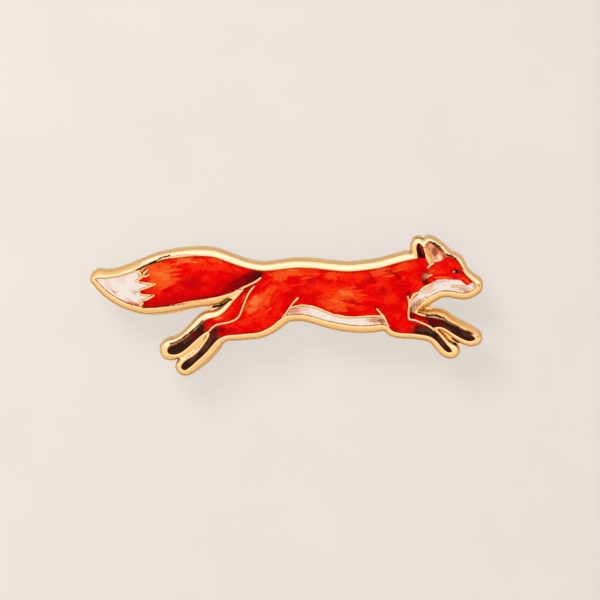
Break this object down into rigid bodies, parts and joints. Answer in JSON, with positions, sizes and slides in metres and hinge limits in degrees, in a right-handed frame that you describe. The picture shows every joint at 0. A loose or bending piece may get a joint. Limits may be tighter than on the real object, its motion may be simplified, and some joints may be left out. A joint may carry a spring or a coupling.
{
  "type": "figural animal brooch",
  "caption": "Flat enamelled brooch in the outline of a running fox, with a raised gilt rim, raised lines and a bar pin behind it.",
  "frame": {"origin": "middle of the brooch's box, on the surface that it lies on", "axes": "+X from the tail to the nose, +Y from the paws to the ears, +Z out of the enamelled face"},
  "size_m": [0.0548, 0.0206, 0.006],
  "materials": {
    "gilt_metal": "polished gilt, brushed on the side walls",
    "red_enamel": "painted enamel, orange-red to maroon, glossy",
    "white_enamel": "painted enamel, warm white, glossy",
    "pink_enamel": "painted enamel, pink to brown, glossy",
    "dark_enamel": "painted enamel, dark brown, glossy",
    "plain_gilt": "plain satin gilt"
  },
  "bodies": {
    "root": {"base": "gilt_metal", "coat_enamel": "red_enamel", "tail_tip_enamel": "white_enamel", "belly_enamel": "white_enamel", "bib_enamel": "white_enamel", "near_ear_enamel": "pink_enamel", "far_ear_enamel": "dark_enamel", "eye_enamel": "dark_enamel", "far_hind_paw_enamel": "dark_enamel", "near_hind_paw_enamel": "dark_enamel", "far_foreleg_enamel": "red_enamel", "far_fore_paw_enamel": "dark_enamel", "near_fore_paw_enamel": "dark_enamel", "bar_pin": "plain_gilt"}
  },
  "joints": []
}
